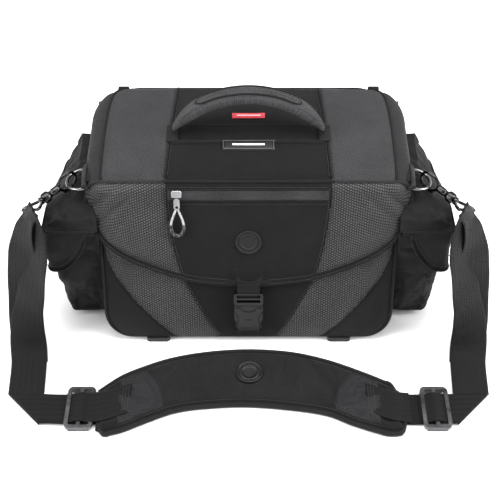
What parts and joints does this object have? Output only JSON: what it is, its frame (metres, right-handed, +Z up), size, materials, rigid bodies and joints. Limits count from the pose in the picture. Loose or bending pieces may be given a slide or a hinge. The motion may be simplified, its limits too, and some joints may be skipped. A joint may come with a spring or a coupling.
{
  "type": "camera bag",
  "caption": "Padded camera shoulder bag with a fold-over lid, side-release buckle, carry handle, side pouches and a padded shoulder strap on swivel snap hooks.",
  "frame": {"origin": "centre of the footprint, strap included, on the floor the bag stands on", "axes": "+X the bag's right seen from the front, +Y the back, +Z up"},
  "size_m": [0.5144, 0.314, 0.2635],
  "materials": {
    "outer_nylon": "woven nylon, faint sheen",
    "textured_nylon": "coarse textured nylon",
    "lining": "brushed lining over foam",
    "board": "matte",
    "rubber": "matte",
    "webbing": "ribbed webbing",
    "dark_metal": "gunmetal plating, satin",
    "bright_metal": "satin",
    "pad_fabric": "textured nylon over foam",
    "badge_rubber": "moulded, satin",
    "zip_tape": "zip tape with fine coil",
    "cord": "braided, white above and black below",
    "label_rubber": "moulded, gloss edge",
    "red_fabric": "woven",
    "black_plastic": "moulded, semi-gloss",
    "grip_rubber": "soft grip with ribbed inset"
  },
  "bodies": {
    "bag": {"back_panel": "outer_nylon", "base_board": "board", "base_panel": "outer_nylon", "buckle_socket": "black_plastic", "divider_left": "lining", "divider_right": "lining", "feet": "rubber", "foam_liner": "lining", "front_panel": "outer_nylon", "front_pocket": "outer_nylon", "hinge_strip": "webbing", "pouch_hood_left": "outer_nylon", "pouch_hood_right": "outer_nylon", "ring_tab_left": "webbing", "ring_tab_right": "webbing", "side_panel_left": "textured_nylon", "side_panel_right": "textured_nylon", "side_pouch_left": "textured_nylon", "side_pouch_right": "textured_nylon", "socket_strap": "webbing"},
    "lid": {"lid_top": "outer_nylon", "lid_flap": "outer_nylon", "lid_skirt_left": "textured_nylon", "lid_skirt_right": "textured_nylon", "lid_foam": "lining", "lid_loop_left": "webbing", "lid_loop_right": "webbing", "flap_zip": "zip_tape", "flap_badge": "badge_rubber", "name_label": "label_rubber", "red_tag": "red_fabric", "handle_anchor_left": "webbing", "handle_anchor_right": "webbing", "buckle_strap": "webbing"},
    "handle": {"handle_grip": "grip_rubber", "handle_strap": "webbing"},
    "zip_slider": {"zip_slider": "bright_metal"},
    "zip_pull": {"pull_tab": "bright_metal", "pull_cord": "cord"},
    "buckle_plug": {"buckle_plug": "black_plastic"},
    "prong_left": {"prong_left": "black_plastic"},
    "prong_right": {"prong_right": "black_plastic"},
    "pouch_flap_left": {"pouch_flap_left": "outer_nylon"},
    "pouch_flap_right": {"pouch_flap_right": "outer_nylon"},
    "d_ring_left": {"d_ring_left": "dark_metal"},
    "d_ring_right": {"d_ring_right": "dark_metal"},
    "strap": {"webbing_left": "webbing", "webbing_right": "webbing", "shoulder_pad": "pad_fabric", "pad_badge": "badge_rubber", "hook_eye_left": "dark_metal", "hook_eye_right": "dark_metal"},
    "hook_left": {"hook_left": "dark_metal"},
    "hook_right": {"hook_right": "dark_metal"},
    "hook_gate_left": {"hook_gate_left": "dark_metal"},
    "hook_gate_right": {"hook_gate_right": "dark_metal"},
    "tri_glide_left": {"tri_glide_left": "dark_metal"},
    "tri_glide_right": {"tri_glide_right": "dark_metal"}
  },
  "joints": [
    {"name": "lid_open", "type": "hinge", "parent": "bag", "child": "lid", "pos_m": [0, 0.154, 0.205], "axis": [-1, 0, 0], "range_deg": [0, 105]},
    {"name": "zip_slide", "type": "slide", "parent": "lid", "child": "zip_slider", "axis": [1, 0, 0], "range_m": [0, 0.146]},
    {"name": "pull_swing", "type": "hinge", "parent": "zip_slider", "child": "zip_pull", "pos_m": [-0.075, 0.01688, 0.17488], "axis": [-1, 0, 0], "range_deg": [0, 60]},
    {"name": "handle_swing", "type": "hinge", "parent": "lid", "child": "handle", "pos_m": [0, 0.081, 0.217], "axis": [1, 0, 0], "range_deg": [-55, 75]},
    {"name": "buckle_release", "type": "slide", "parent": "lid", "child": "buckle_plug", "axis": [0, 0.3244, 0.9459], "range_m": [0, 0.028]},
    {"name": "prong_squeeze_left", "type": "hinge", "parent": "buckle_plug", "child": "prong_left", "pos_m": [-0.0105, -0.0252, 0.05405], "axis": [0, -0.9459, 0.3244], "range_deg": [0, 6], "stiffness_Nm_per_rad": 0.05},
    {"name": "prong_squeeze_right", "type": "hinge", "parent": "buckle_plug", "child": "prong_right", "pos_m": [0.0105, -0.0252, 0.05405], "axis": [0, 0.9459, -0.3244], "range_deg": [0, 6], "stiffness_Nm_per_rad": 0.05},
    {"name": "pouch_flap_left_open", "type": "hinge", "parent": "bag", "child": "pouch_flap_left", "pos_m": [-0.218, 0.062, 0.1405], "axis": [0, 1, 0], "range_deg": [0, 75]},
    {"name": "pouch_flap_right_open", "type": "hinge", "parent": "bag", "child": "pouch_flap_right", "pos_m": [0.218, 0.062, 0.1405], "axis": [0, -1, 0], "range_deg": [0, 75]},
    {"name": "d_ring_left_swing", "type": "hinge", "parent": "bag", "child": "d_ring_left", "pos_m": [-0.1705, 0.046, 0.1775], "axis": [0, 1, 0], "range_deg": [-3, 3]},
    {"name": "d_ring_right_swing", "type": "hinge", "parent": "bag", "child": "d_ring_right", "pos_m": [0.1705, 0.046, 0.1775], "axis": [0, -1, 0], "range_deg": [-3, 3]},
    {"name": "strap_swing", "type": "hinge", "parent": "bag", "child": "strap", "pos_m": [0, 0.046, 0.17361], "axis": [-1, 0, 0], "range_deg": [0, 11]},
    {"name": "hook_left_swivel", "type": "hinge", "parent": "strap", "child": "hook_left", "pos_m": [-0.19256, 0.046, 0.17361], "axis": [-0.6976, -0.6996, -0.1549], "range_deg": [-10, 10]},
    {"name": "hook_right_swivel", "type": "hinge", "parent": "strap", "child": "hook_right", "pos_m": [0.19256, 0.046, 0.17361], "axis": [0.6976, -0.6996, -0.1549], "range_deg": [-10, 10]},
    {"name": "hook_left_gate", "type": "hinge", "parent": "hook_left", "child": "hook_gate_left", "pos_m": [-0.19586, 0.04075, 0.16376], "axis": [0.6829, -0.7146, 0.1517], "range_deg": [0, 12], "stiffness_Nm_per_rad": 0.02},
    {"name": "hook_right_gate", "type": "hinge", "parent": "hook_right", "child": "hook_gate_right", "pos_m": [0.19586, 0.04075, 0.16376], "axis": [0.6829, 0.7146, -0.1517], "range_deg": [0, 12], "stiffness_Nm_per_rad": 0.02},
    {"name": "tri_glide_left_slide", "type": "slide", "parent": "strap", "child": "tri_glide_left", "axis": [-1, 0, 0], "range_m": [0, 0.016]},
    {"name": "tri_glide_right_slide", "type": "slide", "parent": "strap", "child": "tri_glide_right", "axis": [-1, 0, 0], "range_m": [0, 0.016]}
  ]
}
